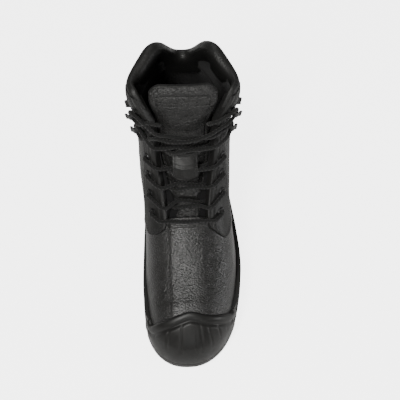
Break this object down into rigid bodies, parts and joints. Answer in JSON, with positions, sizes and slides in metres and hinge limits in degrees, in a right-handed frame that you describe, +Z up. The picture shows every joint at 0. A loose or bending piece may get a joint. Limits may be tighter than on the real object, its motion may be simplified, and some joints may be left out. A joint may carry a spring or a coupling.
{
  "type": "lace-up safety boot",
  "caption": "Tall lace-up safety boot for the left foot with padded notched collar, hooks and eyelets, folding tongue top, rubber toe bumper and lugged outsole.",
  "frame": {"origin": "middle of the bounding box in plan, on the ground plane under the tread", "axes": "+Z up, toe towards -Y, heel towards +Y, inner (medial) side of the foot towards -X"},
  "size_m": [0.1126, 0.303, 0.2194],
  "materials": {
    "outsole_rubber": "matte moulded rubber",
    "midsole_rubber": "matte",
    "bumper_rubber": "satin moulded rubber",
    "steel": "plain",
    "board": "pressed fibre board",
    "plate_textile": "woven ballistic textile",
    "footbed_textile": "brushed textile over foam",
    "toe_composite": "moulded composite",
    "leather_main": "pebbled, semi-matte",
    "leather_smooth": "smooth satin",
    "leather_soft": "soft grained",
    "lining_textile": "knitted lining",
    "foam": "open-cell foam",
    "gusset_textile": "woven",
    "dark_metal": "satin black",
    "lace_cord": "braided cord",
    "tip_plastic": "gloss"
  },
  "bodies": {
    "boot": {"outsole": "outsole_rubber", "midsole": "midsole_rubber", "scuff_cap": "bumper_rubber", "shank": "steel", "insole_board": "board", "penetration_plate": "plate_textile", "footbed": "footbed_textile", "toe_cap": "toe_composite", "heel_stiffener": "board", "vamp": "leather_main", "vamp_lining": "lining_textile", "quarter_medial": "leather_main", "quarter_lateral": "leather_main", "facing_medial": "leather_smooth", "facing_lateral": "leather_smooth", "backstay": "leather_smooth", "collar_padding": "foam", "collar_binding": "leather_soft", "shaft_lining": "lining_textile", "tongue_leather_lower": "leather_soft", "tongue_padding_lower": "foam", "tongue_lining_lower": "lining_textile", "gusset_medial": "gusset_textile", "gusset_lateral": "gusset_textile", "lace_keeper": "leather_smooth", "eyelets_medial": "dark_metal", "eyelets_lateral": "dark_metal", "hooks_medial": "dark_metal", "hooks_lateral": "dark_metal", "hook_rivets_medial": "dark_metal", "hook_rivets_lateral": "dark_metal", "lace": "lace_cord", "aglets": "tip_plastic"},
    "tongue_top": {"tongue_leather_top": "leather_soft", "tongue_padding_top": "foam", "tongue_lining_top": "lining_textile"}
  },
  "joints": [
    {"name": "tongue_top_fold", "type": "hinge", "parent": "boot", "child": "tongue_top", "pos_m": [0, 0.04088, 0.184], "axis": [1, 0, 0], "range_deg": [-8, 25], "stiffness_Nm_per_rad": 0.15}
  ]
}
